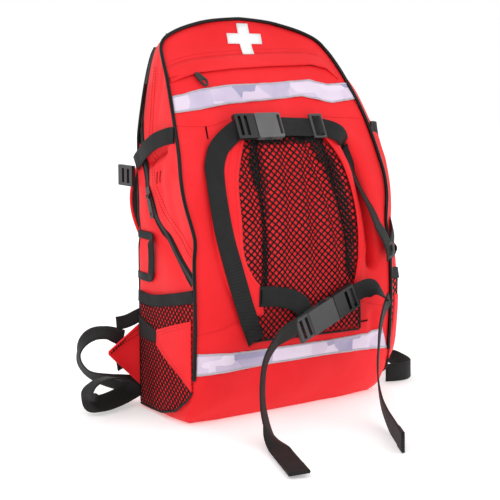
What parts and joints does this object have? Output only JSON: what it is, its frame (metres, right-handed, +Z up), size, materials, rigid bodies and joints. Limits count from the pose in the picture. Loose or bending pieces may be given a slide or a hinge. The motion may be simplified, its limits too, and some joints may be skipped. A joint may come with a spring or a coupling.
{
  "type": "trauma backpack",
  "caption": "Upright soft emergency backpack with piped clamshell body, mesh outer panel under a buckled arch strap, reflective bands, side pockets and padded shoulder straps.",
  "frame": {"origin": "on the base panel, midway across the bag, where it stands on the floor", "axes": "+Z up the bag, -Y out of its front, +Y to the wearer, X across its width"},
  "size_m": [0.5059, 0.4324, 0.501],
  "materials": {
    "red_fabric": "coated nylon weave",
    "red_padding": "coated nylon over foam",
    "back_mesh": "spacer mesh",
    "gloss_piping": "glossy vinyl",
    "zip_tape": "woven tape with a moulded coil",
    "zip_metal": "black enamel",
    "reflective_tape": "prismatic film",
    "white_patch": "smooth twill",
    "black_mesh": "open knitted mesh",
    "black_elastic": "ribbed elastic",
    "buckle_plastic": "moulded acetal, satin",
    "stiff_sheet": "extruded sheet",
    "lining": "plain lining",
    "black_webbing": "ribbed polypropylene webbing"
  },
  "bodies": {
    "root": {"adjuster_webbing": "black_webbing", "aid_cross": "white_patch", "anchor_wings": "red_fabric", "arch_strap_left": "black_webbing", "arch_strap_right": "black_webbing", "back_padding": "back_mesh", "back_panel": "back_mesh", "base_board": "stiff_sheet", "base_panel": "red_fabric", "bottle_pocket_left": "black_mesh", "bottle_pocket_right": "black_mesh", "compression_straps": "black_webbing", "frame_sheet": "stiff_sheet", "front_panel": "red_fabric", "front_piping": "gloss_piping", "gusset_left": "red_fabric", "gusset_right": "red_fabric", "handle_anchor": "black_webbing", "inner_divider": "lining", "left_adjuster_loop": "black_webbing", "left_adjuster_tail": "black_webbing", "left_tail": "black_webbing", "left_tail_tab": "black_webbing", "lower_buckle_female": "buckle_plastic", "lower_reflective_band": "reflective_tape", "lower_straps": "black_webbing", "main_zip_tape": "zip_tape", "mesh_panel": "black_mesh", "mesh_wings": "red_fabric", "organiser_loops": "black_elastic", "pocket_flap": "red_fabric", "pocket_hems": "black_elastic", "pocket_patches": "red_fabric", "pocket_zip_tape": "zip_tape", "rear_piping": "gloss_piping", "right_adjuster_loop": "black_webbing", "right_tail": "black_webbing", "right_tail_tab": "black_webbing", "side_loops": "black_webbing", "strap_yoke": "black_webbing", "top_gusset": "red_fabric", "upper_buckle_female": "buckle_plastic", "upper_reflective_band": "reflective_tape", "waist_tabs": "black_webbing"},
    "zip_slider_left": {"main_zip_slider_left": "zip_metal"},
    "zip_pull_left": {"main_zip_pull_left": "zip_metal"},
    "zip_slider_right": {"main_zip_slider_right": "zip_metal"},
    "zip_pull_right": {"main_zip_pull_right": "zip_metal"},
    "pocket_slider": {"pocket_zip_slider": "zip_metal"},
    "pocket_pull": {"pocket_zip_pull": "zip_metal"},
    "upper_male": {"upper_buckle_male": "buckle_plastic"},
    "lower_male": {"lower_buckle_male": "buckle_plastic"},
    "glide": {"tri_glide": "buckle_plastic"},
    "harness_left": {"shoulder_strap_left": "red_padding", "strap_lock_left": "buckle_plastic"},
    "side_lock_left": {"ladder_lock_left": "buckle_plastic"},
    "harness_right": {"shoulder_strap_right": "red_padding", "strap_lock_right": "buckle_plastic"},
    "side_lock_right": {"ladder_lock_right": "buckle_plastic"},
    "handle": {"grab_handle": "black_webbing"}
  },
  "joints": [
    {"name": "main_zip_slide_left", "type": "slide", "parent": "root", "child": "zip_slider_left", "axis": [0, -0.3714, -0.9285], "range_m": [-0.026, 0.008]},
    {"name": "main_zip_pull_swing_left", "type": "hinge", "parent": "zip_slider_left", "child": "zip_pull_left", "pos_m": [-0.1556, -0.00903, 0.27243], "axis": [0, 0.9285, -0.3714], "range_deg": [0, 150]},
    {"name": "main_zip_slide_right", "type": "slide", "parent": "root", "child": "zip_slider_right", "axis": [0, -0.3714, -0.9285], "range_m": [-0.026, 0.008]},
    {"name": "main_zip_pull_swing_right", "type": "hinge", "parent": "zip_slider_right", "child": "zip_pull_right", "pos_m": [0.1556, -0.00903, 0.27243], "axis": [0, -0.9285, 0.3714], "range_deg": [0, 150]},
    {"name": "pocket_zip_slide", "type": "slide", "parent": "root", "child": "pocket_slider", "axis": [1, 0, 0], "range_m": [-0.015, 0.18]},
    {"name": "pocket_zip_pull_swing", "type": "hinge", "parent": "pocket_slider", "child": "pocket_pull", "pos_m": [-0.092, -0.02323, 0.42638], "axis": [0, -0.6043, -0.7967], "range_deg": [0, 150]},
    {"name": "upper_buckle_release", "type": "slide", "parent": "root", "child": "upper_male", "axis": [-1, 0, 0], "range_m": [0, 0.03]},
    {"name": "lower_buckle_release", "type": "slide", "parent": "root", "child": "lower_male", "axis": [0.9205, 0, 0.3907], "range_m": [0, 0.03]},
    {"name": "tri_glide_adjust", "type": "slide", "parent": "root", "child": "glide", "axis": [1, 0, 0], "range_m": [-0.03, 0.006]},
    {"name": "shoulder_strap_swing_left", "type": "hinge", "parent": "root", "child": "harness_left", "pos_m": [0, 0.06, 0.432], "axis": [1, 0, 0], "range_deg": [0, 40]},
    {"name": "ladder_lock_tilt_left", "type": "hinge", "parent": "root", "child": "side_lock_left", "pos_m": [-0.1545, 0.031, 0.295], "axis": [0, 0, 1], "range_deg": [0, 70]},
    {"name": "shoulder_strap_swing_right", "type": "hinge", "parent": "root", "child": "harness_right", "pos_m": [0, 0.06, 0.432], "axis": [1, 0, 0], "range_deg": [0, 40]},
    {"name": "ladder_lock_tilt_right", "type": "hinge", "parent": "root", "child": "side_lock_right", "pos_m": [0.1545, 0.031, 0.295], "axis": [0, 0, -1], "range_deg": [0, 70]},
    {"name": "grab_handle_lift", "type": "hinge", "parent": "root", "child": "handle", "pos_m": [0, 0.061, 0.449], "axis": [1, 0, 0], "range_deg": [0, 150]}
  ]
}
